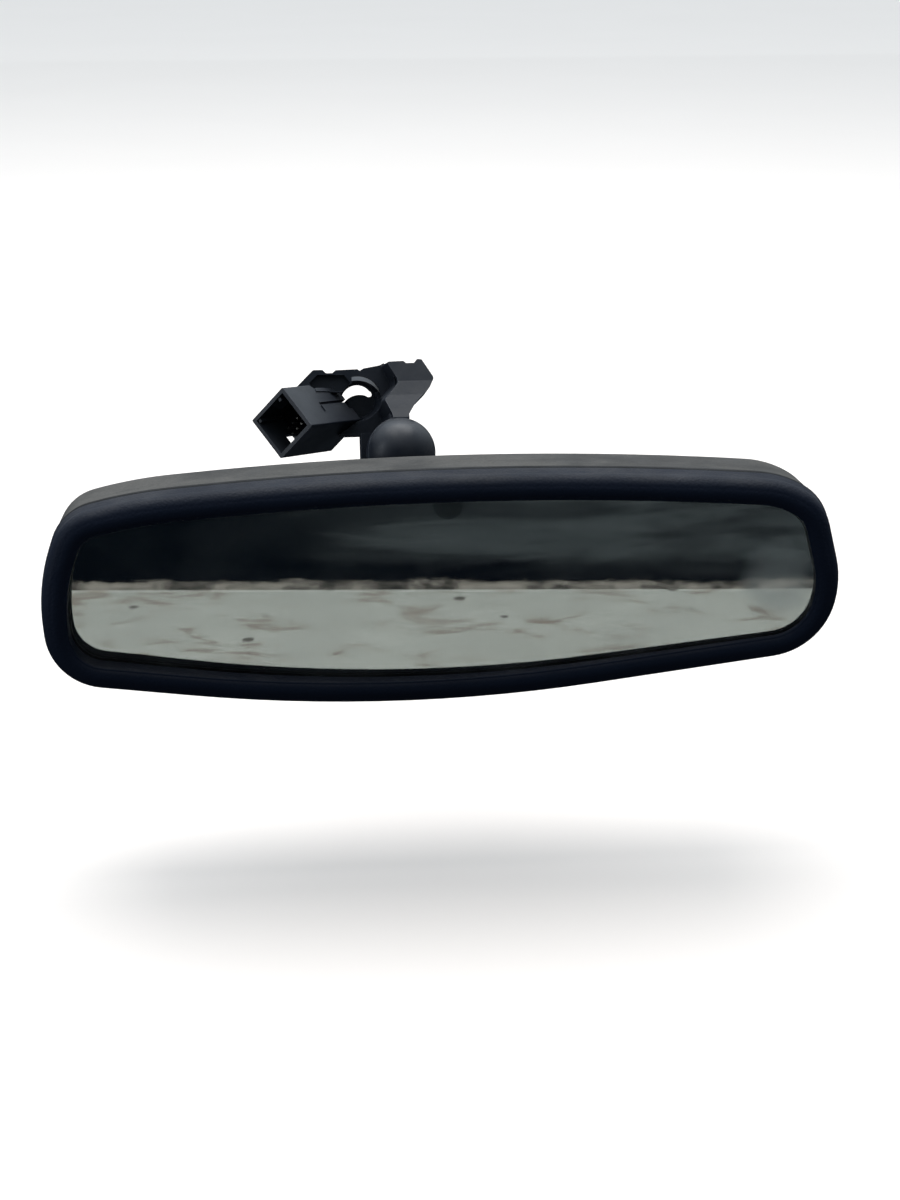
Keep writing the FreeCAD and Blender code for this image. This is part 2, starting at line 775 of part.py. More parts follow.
def make_ball_seat(label, inside, outside):
    """Spherical shell of nylon, open towards the neck, with a wire hole at its pole."""
    body = new_body(label, JOINT)
    sketch = half_section(body, "profile")
    inner = size(inside)
    outer = size(outside)
    mouth = math.radians(size("seat_mouth_angle"))
    pole = math.radians(180.0) - math.asin(1.5 / outer)
    middle = (mouth + pole) / 2.0

    def at(radius, angle):
        return Vector(radius * math.sin(angle), radius * math.cos(angle), 0)

    sketch.addGeometry(Part.Arc(at(inner, mouth), at(inner, middle), at(inner, pole)), False)
    sketch.addGeometry(Part.LineSegment(at(inner, pole), at(outer, pole)), False)
    sketch.addGeometry(Part.Arc(at(outer, pole), at(outer, middle), at(outer, mouth)), False)
    sketch.addGeometry(Part.LineSegment(at(outer, mouth), at(inner, mouth)), False)
    turn(body, "shell", sketch)
    return body


def washer(outside, inside, top, thickness):
    """Flat ring round the joint's axis, its upper face at top."""
    base = Vector(0, 0, top - thickness)
    return Part.makeCylinder(outside, thickness, base).cut(Part.makeCylinder(inside, thickness, base))


def make_pressure_ring():
    """Steel ring above the seats with a hollow face that the springs press onto them."""
    ring = washer(size("spring_well_radius") - 0.1, 1.3, -8.4, 3.0)
    return ring.cut(Part.makeSphere(size("outer_seat_outside") + 0.05))


def make_pressure_springs():
    """Two spring washers stacked above the pressure ring."""
    outside = size("spring_well_radius") - 0.15
    return Part.makeCompound([washer(outside, 1.5, top, 0.6) for top in (-11.45, -12.25)])


# ---------------------------------------------------------------- cast mount
# The arm as the driver sees it: (x, z) corners in the mount frame, with small roundings.
ARM_LEFT = [
    (-3.8, 4.0, 0.0),
    (-3.8, 13.0, 3.0),
    (-5.8, 18.4, 1.2),
    (-0.6, 24.2, 1.5),
    (-0.6, 25.8, 1.0),
    (-3.8, 31.9, 0.5),
]
ARM_TOP = [(2.3, 32.1, 0.4), (3.1, 31.3, 0.4), (5.9, 31.3, 0.4), (7.0, 32.7, 0.5), (8.6, 32.5, 0.6)]
ARM_RIGHT = [(12.5, 25.9, 1.5), (10.8, 22.4, 3.0), (6.2, 17.9, 8.0), (3.0, 12.8, 2.0), (3.0, 4.0, 0.0)]
# The arm from the side: (y, z) corners in the mount frame.
ARM_SIDE = [
    (-3.0, 3.0),
    (-1.5, 12.0),
    (3.0, 20.0),
    (5.5, 25.0),
    (9.0, 35.0),
    (31.5, 35.0),
    (31.5, 9.0),
    (12.0, 3.0),
]
ARM_FLARE = 0.13
ARM_FLARE_START = 10.0


def arm_section(depth, grow):
    """The arm's outline at a depth in the mount frame: its left side flares as it goes back."""
    flare = ARM_FLARE * (depth - ARM_FLARE_START)
    left = [(x - flare - grow, z, r) for x, z, r in ARM_LEFT]
    top = [(x, z + grow, r) for x, z, r in ARM_TOP]
    right = [(x + grow, z, r) for x, z, r in ARM_RIGHT]
    left[-1] = (left[-1][0], left[-1][1] + grow, left[-1][2])
    return left + top + right


def arm_body(grow=0.0, shift=0.0):
    """The arm as a solid; grown a little, or smaller and shifted back as the hollow behind it."""
    ends = [outline_wire(arm_section(depth, grow), depth) for depth in (-12.0, 40.0)]
    block = Part.makeLoft(ends, True, True)
    side_points = [Vector(-40.0, y + shift, z) for y, z in ARM_SIDE]
    side = Part.Face(Part.makePolygon(side_points + side_points[:1])).extrude(Vector(80.0, 0, 0))
    return block.common(side)


def make_mount_arm():
    """Zinc casting: cup for the ball, leaning arm that is hollow behind, foot with a bayonet rim."""
    to_foot = MOUNT.inverse().multiply(FOOT)
    to_joint = MOUNT.inverse().multiply(JOINT)
    arm = arm_body()
    hollow = arm_body(-2.2, 2.6).cut(box((-20.0, -20.0, -10.0), (20.0, 60.0, 16.5)))
    arm = arm.cut(hollow)

    cup = Part.makeSphere(size("cup_outside"))
    seam = Part.makeTorus(size("cup_outside"), 0.2)
    seam.Placement = Placement(Vector(), Rotation(Vector(0, 0, 1), Vector(-0.35, 1.0, 0.0)))
    seam = seam.common(box((-20.0, -20.0, -8.0), (20.0, 20.0, 20.0)))
    spring_tower = Part.makeCylinder(size("spring_well_radius") + 1.0, 8.0, Vector(0, 0, -14.2))
    spring_tower.Placement = to_joint

    thickness = size("foot_thickness")
    rim_height = size("foot_rim_height")
    rim_inside = size("foot_rim_inside")
    foot = foot_cylinder(size("foot_radius"), -thickness, rim_height)
    button_room = foot_cylinder(rim_inside, 0.0, rim_height + 20.0)
    for angle in (30.0, 150.0, 270.0):
        start = angle - 17.0
        tab = sector_ring(size("tab_inside"), rim_inside + 0.5, start, start + 34.0, 1.8, rim_height)
        button_room = button_room.cut(tab)

    block = box((-19.8, 21.5, 7.9), (-3.0, 30.6, 17.5)).fuse(box((-20.2, 20.4, 7.4), (-3.4, 22.0, 8.3)))
    side_wall = box((-13.0, 10.0, -9.0), (-8.5, 23.0, 7.7))
    bracket_back = size("bracket_front") + size("bracket_thickness")
    hub = box((-16.7, 21.5, 15.0), (-6.2, 30.6, 23.0))
    hub = hub.fuse(box((-16.7, bracket_back + 0.1, 15.0), (-3.0, 30.6, 23.0)))
    ring_x, ring_z = RING_CENTRE
    funnel = size("recess_radius"), size("slot_radius") + 0.3
    recess = Part.makeCone(*funnel, 7.2, Vector(ring_x, size("bracket_front"), ring_z), Vector(0, 1, 0))
    recess = recess.fuse(depth_cylinder(size("recess_radius"), ring_x, ring_z, 10.0, 20.6))
    for shape in (foot, button_room):
        shape.Placement = to_foot
    casting = arm.fuse([cup, seam, spring_tower, foot, block, hub, side_wall])

    cavity = Part.makeSphere(size("cup_inside"))
    mouth = Part.makeCone(0.0, 20.0 * math.tan(math.radians(size("cup_mouth_angle"))), 20.0)
    spring_well = Part.makeCylinder(size("spring_well_radius"), 9.0, Vector(0, 0, -13.1))
    lead_way = Part.makeCylinder(size("wire_bore_radius"), 22.0, Vector(0, 0, -30.0))
    for tool in (cavity, mouth, spring_well, lead_way):
        tool.Placement = to_joint
        casting = casting.cut(tool)
    for tool in (crescent_slot(), recess, button_room, socket_envelope(0.15, 2.5)):
        casting = casting.cut(tool)
    solids = sorted(casting.Solids, key=lambda solid: solid.Volume)
    return keep_shape("mount_arm", solids[-1].removeSplitter(), MOUNT)


# Middle of the crescent slot, of the hub below it and of its rounded end, (x, z) in the mount frame.
RING_CENTRE = (-13.1, 20.6)
HUB_CENTRE = (-12.4, 15.6)
SLOT_END = (-9.1, 23.0)


def crescent_slot():
    """Opening between the ring and the hub, closed by a round end beside the arm."""
    slot = depth_cylinder(size("slot_radius"), *RING_CENTRE, 15.0, 45.0)
    slot = slot.cut(depth_cylinder(size("hub_radius"), *HUB_CENTRE, 15.0, 45.0))
    end_x, end_z = SLOT_END
    slot = slot.cut(box((end_x, 10.0, 0.0), (0.0, 50.0, end_z)))
    return slot.fuse(depth_cylinder(size("slot_end_radius"), end_x, end_z, 15.0, 45.0))


def depth_cylinder(radius, x, z, front, back):
    return Part.makeCylinder(radius, back - front, Vector(x, front, z), Vector(0, 1, 0))


def foot_cylinder(radius, front, back):
    return Part.makeCylinder(radius, back - front, Vector(0, front, 0), Vector(0, 1, 0))


def sector_ring(inside, outside, start, end, front, back):
    """Part of a ring round the Y axis; angles in degrees from +X towards +Z."""
    def at(radius, angle):
        turned = math.radians(angle)
        return Vector(radius * math.cos(turned), front, radius * math.sin(turned))

    middle = (start + end) / 2.0
    edges = [
        Part.Arc(at(outside, start), at(outside, middle), at(outside, end)).toShape(),
        Part.LineSegment(at(outside, end), at(inside, end)).toShape(),
        Part.Arc(at(inside, end), at(inside, middle), at(inside, start)).toShape(),
        Part.LineSegment(at(inside, start), at(outside, start)).toShape(),
    ]
    return Part.Face(Part.Wire(edges)).extrude(Vector(0, back - front, 0))


def make_bayonet_spring():
    """Curved strip of spring steel on the lower seat, with three raised fingers."""
    thick = size("spring_thickness")
    ring = sector_ring(5.9, 6.8, 200.0, 340.0, 0.0, thick)
    for angle in (215.0, 270.0, 325.0):
        ring = ring.fuse(sector_ring(6.0, 6.7, angle - 9.0, angle + 9.0, thick, thick + 0.5))
    return ring.removeSplitter()


# ---------------------------------------------------------------- bracket and plug socket
SOCKET_CENTRE = Vector(-40.1, 3.0, 11.2)
SOCKET = Placement(
    SOCKET_CENTRE,
    Rotation(Vector(0, 0, 1), -size("socket_turn"))
    .multiply(Rotation(Vector(1, 0, 0), size("socket_rise")))
    .multiply(Rotation(Vector(0, 1, 0), size("socket_roll"))),
)


def socket_envelope(clearance=0.0, room_behind=0.0):
    """The outside of the plug socket, in the mount frame, with room behind it for the pins."""
    half = size("socket_side") / 2.0 + clearance
    shape = box((-half, -clearance, -half), (half, size("socket_length") + room_behind, half))
    shape = shape.cut(corner_notch(clearance)).fuse(socket_rail())
    shape.Placement = SOCKET
    return shape


def corner_notch(inset=0.0):
    """Room cut out of the socket's upper edge so that the bracket's pocket stays open."""
    outline = [(-11.0, 14.2), (-6.65, 18.2), (-5.6, 28.8), (-4.6, 28.9), (-4.2, 60.0), (-11.0, 60.0)]
    corners = [Vector(x - inset, y + inset, 3.0) for x, y in outline]
    return Part.Face(Part.makePolygon(corners + corners[:1])).extrude(Vector(0, 0, 30.0))


def socket_rail():
    """Low rail beside the notch."""
    outline = [(-5.35, 17.6), (-4.55, 28.5), (-5.9, 28.5), (-6.7, 18.3)]
    corners = [Vector(x, y, size("socket_side") / 2.0 - 0.1) for x, y in outline]
    return Part.Face(Part.makePolygon(corners + corners[:1])).extrude(Vector(0, 0, 0.55))


def make_connector_bracket():
    """Plastic bracket behind the socket's upper edge: notched bar and six-sided pocket."""
    front = size("bracket_front")
    back = front + size("bracket_thickness")
    ring_x, ring_z = RING_CENTRE
    bar_top = [
        (-34.4, 25.2, 0.4),
        (-28.6, 30.9, 1.0),
        (-25.3, 30.9, 0.7),
        (-24.1, 29.7, 0.3),
        (-21.9, 29.7, 0.3),
        (-20.7, 30.7, 0.6),
        (-13.1, 30.9, 0.4),
        (-12.3, 30.3, 0.3),
        (-11.0, 31.1, 0.4),
        (-5.2, 32.1, 1.0),
        (-4.0, 32.8, 0.4),
    ]
    right_side = [(1.5, 30.0, 0.0), (1.5, 24.6, 0.0), (-6.0, 18.4, 0.4)]
    underside = [(-18.3, 22.9, 0.1), (-23.6, 23.1, 0.2), (-29.6, 22.2, 0.4), (-33.6, 20.0, 0.4)]
    plate = outline_prism(bar_top + right_side + underside, front, back)
    ring = depth_cylinder(size("recess_radius"), ring_x, ring_z, front - 5.0, back + 5.0)
    ring = ring.common(box((-15.2, 0.0, 0.0), (10.0, 60.0, 60.0)))
    opening = depth_cylinder(size("slot_radius") + 0.2, ring_x, ring_z, front - 5.0, back + 5.0)
    pocket_corners = [
        (-30.1, 26.4, 0.3),
        (-27.2, 29.2, 0.4),
        (-17.8, 29.0, 0.4),
        (-15.7, 26.2, 0.3),
        (-18.2, 23.4, 0.2),
        (-23.6, 23.5, 0.2),
        (-28.4, 23.4, 0.3),
    ]
    hollow = outline_prism(pocket_corners, front - 1.0, back - 0.9)
    shape = plate
    for tool in (ring, opening, hollow, socket_envelope(), arm_body(0.05)):
        shape = shape.cut(tool)
    solids = sorted(shape.Solids, key=lambda solid: solid.Volume)
    return solids[-1].removeSplitter()


def make_plug_socket():
    """Square shroud set on its corner: key ribs, latch ramp, drain window, rail and slot."""
    half = size("socket_side") / 2.0
    wall = size("socket_wall")
    inner = half - wall
    length = size("socket_length")
    shell = box((-half, 0.0, -half), (half, length, half))
    shell = shell.makeFillet(0.5, [edge for edge in shell.Edges if edge.BoundBox.YLength > length - 1.0])
    shell = shell.cut(box((-inner, -1.0, -inner), (inner, length + 1.0, inner)))
    for z in (4.6, -6.5):
        shell = shell.fuse(box((-inner - 0.1, 0.6, z - 0.5), (-inner + 1.3, 14.0, z + 0.5)))
    ramp_points = [Vector(-inner - 0.1, y, -0.1) for y in (1.5, 6.5)] + [Vector(-inner + 1.4, 6.5, -0.1)]
    ramp = Part.Face(Part.makePolygon(ramp_points + ramp_points[:1])).extrude(Vector(0, 0, 3.4))
    stop_rib = box((0.8, 14.1, half - 0.1), (3.2, 14.5, half + 0.5))
    shell = shell.cut(corner_notch()).fuse([ramp, stop_rib, socket_rail()])
    slot = box((-0.8, 14.4, inner + 0.45), (0.4, length + 1.0, half + 1.0))
    notch = box((-0.8, length - 1.7, inner - 0.1), (3.3, length + 1.0, half + 1.0))
    drain = box((0.0, 10.2, -half - 1.0), (4.3, 16.2, -inner + 0.1))
    for tool in (slot, notch, drain):
        shell = shell.cut(tool)
    return shell


PIN_PLACES = [
    (x * size("pin_pitch"), z * size("pin_pitch")) for z in (-2, -1, 0, 1, 2) for x in (-0.5, 0.5)
]


def pin_solids():
    """Square pins that stand out before the terminal block and end in tails behind the socket."""
    half = size("pin_side") / 2.0
    pins = []
    for x, z in PIN_PLACES:
        low = (x - half, size("block_front") - size("pin_reach"), z - half)
        high = (x + half, size("socket_length") + size("pin_tail"), z + half)
        pins.append(box(low, high))
    return pins


def make_terminal_block():
    """Insulator pushed in from behind, which holds the pins."""
    inner = size("socket_side") / 2.0 - size("socket_wall") - 0.05
    front = size("block_front")
    block = box((-inner, front, -inner), (inner, size("socket_length") - 0.5, inner))
    lead_in = box((-3.6, front - 0.1, -inner + 1.0), (3.6, front + 0.8, inner - 1.0))
    block = block.cut(lead_in).cut(corner_notch())
    for pin in pin_solids():
        block = block.cut(pin)
    return block


# ---------------------------------------------------------------- build every sub-part
keep_shape("front_bezel", make_front_bezel(), HEAD)
make_rear_housing()
make_front_glass()
make_cell_seal()
make_rear_glass()
keep_shape("sensor_window", make_sensor_window(), GLASS)
keep_shape("bus_clip_upper", make_bus_clip(True), GLASS)
keep_shape("bus_clip_lower", make_bus_clip(False), GLASS)
make_adhesive_pad()
make_glass_carrier()
make_circuit_board()
make_control_chip()
board_component("power_transistor", [(-38.0, 2.0)], 6.5, 6.0, 2.3, 0.3)
board_component("chip_resistors", [(-14.0 + 4.0 * k, 14.0) for k in range(8)], 2.0, 1.25, 0.55)
make_capacitors()
make_board_header()
make_glare_sensor()
make_ambient_sensor()
make_ambient_lens()
screw_group(
    "board_screws",
    [(x, BOARD_BACK, z) for x, z in BOARD_SCREWS],
    Vector(0, 1, 0),
    size("board_screw_radius") - 0.02,
    size("standoff_height") + size("board_thickness") - 0.2,
    2.3,
    1.5,
    GLASS,
)
make_ball_stud()
screw_group(
    "flange_screws",
    [(x, size("flange_y"), z) for x, z in FLANGE_SCREWS],
    Vector(0, -1, 0),
    size("flange_screw_radius") - 0.02,
    size("flange_thickness") + 2.6,
    2.8,
    1.7,
    HEAD,
)
make_ball_seat("inner_ball_seat", "inner_seat_inside", "inner_seat_outside")
make_ball_seat("outer_ball_seat", "outer_seat_inside", "outer_seat_outside")
keep_shape("pressure_ring", make_pressure_ring(), JOINT)
keep_shape("pressure_springs", make_pressure_springs(), JOINT)
make_mount_arm()
keep_shape("bayonet_spring", make_bayonet_spring(), FOOT)
keep_shape("connector_bracket", make_connector_bracket(), MOUNT)
keep_shape("plug_socket", make_plug_socket(), MOUNT.multiply(SOCKET))
keep_shape("terminal_block", make_terminal_block(), MOUNT.multiply(SOCKET))
keep_shape("contact_pins", Part.makeCompound(pin_solids()), MOUNT.multiply(SOCKET))

# ---------------------------------------------------------------- check and export
doc.recompute()
for item in doc.Objects:
    if "Invalid" in item.State or "Error" in item.State:
        raise ValueError(f"{item.Label} failed: {item.State}")
for part in SUBPARTS:
    if part.Shape.isNull() or not part.Shape.isValid() or part.Shape.Volume <= 0:
        raise ValueError(f"{part.Label} has no valid shape")

os.makedirs("parts", exist_ok=True)
for part in SUBPARTS:
    part.Shape.exportStep(f"parts/{part.Label}.step")
    print(part.Label, len(part.Shape.Solids), round(part.Shape.Volume, 1))
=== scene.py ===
import json
import math

import bpy
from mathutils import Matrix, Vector


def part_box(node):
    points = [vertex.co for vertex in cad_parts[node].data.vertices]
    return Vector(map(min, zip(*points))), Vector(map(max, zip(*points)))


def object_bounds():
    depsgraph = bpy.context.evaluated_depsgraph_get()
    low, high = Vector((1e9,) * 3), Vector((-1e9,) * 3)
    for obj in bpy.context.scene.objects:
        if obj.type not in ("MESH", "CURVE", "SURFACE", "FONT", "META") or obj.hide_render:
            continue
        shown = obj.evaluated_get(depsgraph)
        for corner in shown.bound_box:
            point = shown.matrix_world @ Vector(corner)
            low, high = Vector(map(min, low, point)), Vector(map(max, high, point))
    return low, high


# Looks for an interior rear-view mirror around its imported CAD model.  Metres; +X to the
# driver's right, +Y away from the driver, +Z up.  Feature sizes in the materials are in
# millimetres, and colours are linear.

MM = 0.001

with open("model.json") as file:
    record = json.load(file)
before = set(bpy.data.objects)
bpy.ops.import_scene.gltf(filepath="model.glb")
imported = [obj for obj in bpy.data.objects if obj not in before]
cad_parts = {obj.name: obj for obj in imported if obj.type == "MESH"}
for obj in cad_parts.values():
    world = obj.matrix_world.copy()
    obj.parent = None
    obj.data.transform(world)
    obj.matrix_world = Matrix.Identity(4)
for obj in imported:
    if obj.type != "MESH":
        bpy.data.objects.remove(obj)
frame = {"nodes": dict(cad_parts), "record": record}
cad_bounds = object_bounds()


# ---------------------------------------------------------------- shader building blocks
UPWARD_RANGE = (0.35, 0.92)  # upward part of the normal where dust starts to lie, and lies fully
EDGE_RANGE = (0.985, 0.80)  # agreement of true and rounded normal, off the edge and on it


class Shader:
    """A node material with one Principled shader, and short calls for the nodes used here."""

    def __init__(self, name):
        self.material = bpy.data.materials.new(name)
        self.material.use_nodes = True
        self.tree = self.material.node_tree
        self.tree.nodes.clear()
        self.output = self.node("ShaderNodeOutputMaterial")
        self.main = self.node("ShaderNodeBsdfPrincipled")
        self.link(self.main.outputs["BSDF"], self.output.inputs["Surface"])
        self.place = self.node("ShaderNodeTexCoord").outputs["Object"]

    def node(self, kind, **settings):
        made = self.tree.nodes.new(kind)
        for key, value in settings.items():
            setattr(made, key, value)
        return made

    def link(self, start, end):
        self.tree.links.new(start, end)

    def feed(self, value, socket):
        """Link an output to a socket, or set the socket to a plain value."""
        if isinstance(value, bpy.types.NodeSocket):
            self.link(value, socket)
        else:
            socket.default_value = value

    def stretched(self, across, along, up):
        """Object coordinates divided by a feature size in millimetres on each axis."""
        mapping = self.node("ShaderNodeMapping")
        self.link(self.place, mapping.inputs["Vector"])
        mapping.inputs["Scale"].default_value = [1.0 / (size * MM) for size in (across, along, up)]
        return mapping.outputs["Vector"]

    def noise(self, size, detail=2.0, roughness=0.5, distortion=0.0):
        """Noise with features of about size millimetres; size may be one number or three."""
        sizes = size if isinstance(size, tuple) else (size, size, size)
        texture = self.node("ShaderNodeTexNoise")
        self.link(self.stretched(*sizes), texture.inputs["Vector"])
        texture.inputs["Scale"].default_value = 1.0
        texture.inputs["Detail"].default_value = detail
        texture.inputs["Roughness"].default_value = roughness
        texture.inputs["Distortion"].default_value = distortion
        return texture.outputs["Fac"]

    def cells(self, size):
        """Distance from scattered points about size millimetres apart."""
        texture = self.node("ShaderNodeTexVoronoi", feature="F1")
        self.link(self.stretched(size, size, size), texture.inputs["Vector"])
        texture.inputs["Scale"].default_value = 1.0
        return texture.outputs["Distance"]

    def spread(self, value, low, high, to_low=0.0, to_high=1.0):
        """Map a range onto another with clamped, smooth ends."""
        mapped = self.node("ShaderNodeMapRange", interpolation_type="SMOOTHSTEP")
        self.feed(value, mapped.inputs["Value"])
        mapped.inputs["From Min"].default_value = low
        mapped.inputs["From Max"].default_value = high
        mapped.inputs["To Min"].default_value = to_low
        mapped.inputs["To Max"].default_value = to_high
        return mapped.outputs["Result"]

    def math(self, operation, first, second=0.0, clamp=False):
        made = self.node("ShaderNodeMath", operation=operation, use_clamp=clamp)
        self.feed(first, made.inputs[0])
        self.feed(second, made.inputs[1])
        return made.outputs["Value"]

    def blend(self, share, first, second):
        """Colour between two colours."""
        mix = self.node("ShaderNodeMix", data_type="RGBA")
        self.feed(share, mix.inputs["Factor"])
        for value, socket in ((first, mix.inputs[6]), (second, mix.inputs[7])):
            self.feed((*value, 1.0) if isinstance(value, tuple) else value, socket)
        return mix.outputs[2]

    def part_of(self, source, axis):
        split = self.node("ShaderNodeSeparateXYZ")
        self.link(source, split.inputs["Vector"])
        return split.outputs[axis]

    def upward(self):
        """1 on faces that look up at rest, 0 on upright faces and below."""
        facing = self.node("ShaderNodeTexCoord").outputs["Normal"]
        return self.spread(self.part_of(facing, "Z"), *UPWARD_RANGE)

    def bump(self, height, depth, strength):
        """Normal from a height in 0..1 that stands depth millimetres high."""
        made = self.node("ShaderNodeBump")
        made.inputs["Strength"].default_value = strength
        made.inputs["Distance"].default_value = depth * MM
        self.link(height, made.inputs["Height"])
        return made.outputs["Normal"]

    def rounded_edges(self, radius):
        edge = self.node("ShaderNodeBevel", samples=4)
        edge.inputs["Radius"].default_value = radius * MM
        return edge.outputs["Normal"]

    def edges(self, radius):
        """1 on sharp edges, within radius millimetres of them."""
        normal = self.node("ShaderNodeNewGeometry").outputs["Normal"]
        compare = self.node("ShaderNodeVectorMath", operation="DOT_PRODUCT")
        self.link(self.rounded_edges(radius), compare.inputs[0])
        self.link(normal, compare.inputs[1])
        return self.spread(compare.outputs["Value"], *EDGE_RANGE)

    def surface(self, colour, roughness, normal=None, metallic=0.0, specular=0.5, **fixed):
        """Set the shader's sockets, fixed ones by their own names, and return the material."""
        base = (*colour, 1.0) if isinstance(colour, tuple) else colour
        self.feed(base, self.main.inputs["Base Color"])
        self.feed(roughness, self.main.inputs["Roughness"])
        self.main.inputs["Metallic"].default_value = metallic
        self.main.inputs["Specular IOR Level"].default_value = specular
        if normal is not None:
            self.link(normal, self.main.inputs["Normal"])
        for name, value in fixed.items():
            self.main.inputs[name].default_value = value
        return self.material


def darker(colour, share):
    return tuple(channel * share for channel in colour)


# ---------------------------------------------------------------- materials
DUST = (0.150, 0.142, 0.130)
# Lighter edge colour: partly scuffs, partly a painted highlight along edges.
SCUFF_AND_HIGHLIGHT = (0.095, 0.108, 0.13)
# Colour of the painted shade along the parting line.
SEAM_PAINTED_SHADE = (0.004, 0.004, 0.005)
CASTING_DUST = 0.10


def moulded(name, colour, rough, specular, grain, depth, dust, patch=26.0, wear_and_highlight=0.0, seam=None):
    """Moulded plastic with a spark-eroded grain, uneven sheen, and dust on what looks up.

    grain is the size of the pits and depth how deep they are, patch the size of tone patches,
    and wear_and_highlight the width of lighter edges, partly worn and partly a painted
    highlight, all in millimetres.  seam is a pair of Y values in metres: unshaded up to the
    first, painted shade of the parting gap from the second on.
    """
    shader = Shader(name)
    tone = shader.blend(shader.noise(patch, 3.0), darker(colour, 0.75), darker(colour, 1.3))
    # Lighter edges: partly worn, partly a painted highlight.
    if wear_and_highlight:
        broken = shader.spread(shader.noise(5.0, 3.0), 0.35, 0.7)
        scuffed_and_highlit = shader.math("MULTIPLY", shader.edges(wear_and_highlight), broken)
        tone = shader.blend(scuffed_and_highlit, tone, SCUFF_AND_HIGHLIGHT)
    settled = shader.spread(shader.noise((38.0, 16.0, 16.0), 4.0, 0.62, 0.6), 0.36, 0.62, 0.45, 1.0)
    fine = shader.spread(shader.noise(0.9, 2.0), 0.3, 0.7, 0.7, 1.0)
    cover = shader.math("MULTIPLY", shader.math("MULTIPLY", shader.upward(), settled), fine)
    cover = shader.math("MULTIPLY", cover, dust)
    tone = shader.blend(cover, tone, DUST)
    # Painted shade: darkens the band next to the parting line, where the gap's shadow falls.
    if seam is not None:
        tone = shader.blend(shader.spread(shader.part_of(shader.place, "Y"), *seam), tone, SEAM_PAINTED_SHADE)
    sheen = shader.spread(shader.noise(11.0, 3.0), 0.3, 0.7, rough - 0.06, rough + 0.07)
    sheen = shader.math("ADD", sheen, shader.math("MULTIPLY", cover, 0.35), clamp=True)
    pits = shader.math("ADD", shader.cells(grain), shader.noise(grain * 1.7, 3.0))
    normal = shader.bump(pits, depth, 0.55)
    return shader.surface(tone, sheen, normal, specular=specular)


def coated_casting(name, colour, rough):
    """Black coat over a casting: slight orange peel, edges lighter, partly worn by rubbing and partly a
    painted highlight.
    """
    shader = Shader(name)
    tone = shader.blend(shader.noise(9.0, 3.0), darker(colour, 0.8), darker(colour, 1.25))
    # Lighter edges: partly worn, partly a painted highlight.
    rubbed_and_highlit = shader.math("MULTIPLY", shader.edges(0.35), shader.spread(shader.noise(3.0, 3.0), 0.3, 0.7))
    tone = shader.blend(rubbed_and_highlit, tone, SCUFF_AND_HIGHLIGHT)
    cover = shader.math("MULTIPLY", shader.upward(), shader.spread(shader.noise(7.0, 4.0), 0.4, 0.7))
    tone = shader.blend(shader.math("MULTIPLY", cover, CASTING_DUST), tone, DUST)
    sheen = shader.spread(shader.noise(5.0, 3.0), 0.3, 0.7, rough - 0.07, rough + 0.08)
    peel = shader.bump(shader.noise(0.8, 2.0), 0.035, 0.5)
    return shader.surface(tone, sheen, peel, specular=0.32)


def worked_metal(name, colour, rough, lines=(0.25, 6.0, 6.0)):
    """Drawn, turned or stamped metal with fine lines and a few dull stains."""
    shader = Shader(name)
    stain = shader.spread(shader.noise(4.0, 3.0), 0.45, 0.75)
    tone = shader.blend(stain, colour, darker(colour, 0.72))
    scratch = shader.noise(lines, 3.0, 0.6)
    sheen = shader.spread(scratch, 0.3, 0.7, rough - 0.08, rough + 0.12)
    normal = shader.bump(scratch, 0.01, 0.4)
    return shader.surface(tone, sheen, normal, metallic=1.0)


def plain_moulding(name, colour, rough, specular=0.5, size=1.2):
    """Small internal mouldings: a slight mottle in colour and sheen."""
    shader = Shader(name)
    mottle = shader.noise(size, 3.0)
    tone = shader.blend(mottle, darker(colour, 0.8), darker(colour, 1.15))
    sheen = shader.spread(shader.noise(3.0, 2.0), 0.3, 0.7, rough - 0.06, rough + 0.08)
    return shader.surface(tone, sheen, shader.bump(mottle, 0.02, 0.4), specular=specular)


BOARD_GREENS = {
    "Color1": (0.012, 0.085, 0.035),
    "Color2": (0.016, 0.11, 0.045),
    "Mortar": (0.03, 0.19, 0.07),
}


def laminate(name):
    """Circuit board: green solder mask over faint copper tracks and a woven base."""
    shader = Shader(name)
    tracks = shader.node("ShaderNodeTexBrick")
    shader.link(shader.stretched(1.0, 1.0, 1.0), tracks.inputs["Vector"])
    tracks.inputs["Scale"].default_value = 0.35
    tracks.inputs["Mortar Size"].default_value = 0.12
    for part, green in BOARD_GREENS.items():
        tracks.inputs[part].default_value = (*green, 1.0)
    weave = shader.noise((0.4, 0.4, 2.5), 2.0)
    sheen = shader.spread(weave, 0.3, 0.7, 0.22, 0.36)
    return shader.surface(tracks.outputs["Color"], sheen, shader.bump(weave, 0.015, 0.4))


glass_low, glass_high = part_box("front_glass")
glass_middle = (glass_low + glass_high) / 2.0
THUMB_MARK = glass_middle + Vector((0.110, 0.0, 0.001))
THUMB_REACH = (0.010, 0.001)  # clean outside the first radius, full inside the second
THUMB_RAGGED = 0.012
HAZE_ACROSS = (glass_middle.x - 0.05, glass_middle.x + 0.03)
HAZE_UPRIGHT = (glass_middle.z - 0.004, glass_middle.z + 0.012)
HAZE_COVER = 0.035
THUMB_COVER = 3.2  # times the haze
SPECK_COVER = 0.30
FILM_COVER = 0.02
CLEAR_TINT = (0.93, 0.975, 0.95)
PANE_DUST = (0.62, 0.66, 0.68)


def thumb_mark(shader):
    """Round smear of dust near the right end of the pane."""
    offset = shader.node("ShaderNodeVectorMath", operation="DISTANCE")
    shader.link(shader.place, offset.inputs[0])
    offset.inputs[1].default_value = THUMB_MARK
    ragged = shader.math("MULTIPLY", shader.noise((14.0, 14.0, 5.0), 4.0), THUMB_RAGGED)
    return shader.spread(shader.math("SUBTRACT", offset.outputs["Value"], ragged), *THUMB_REACH)


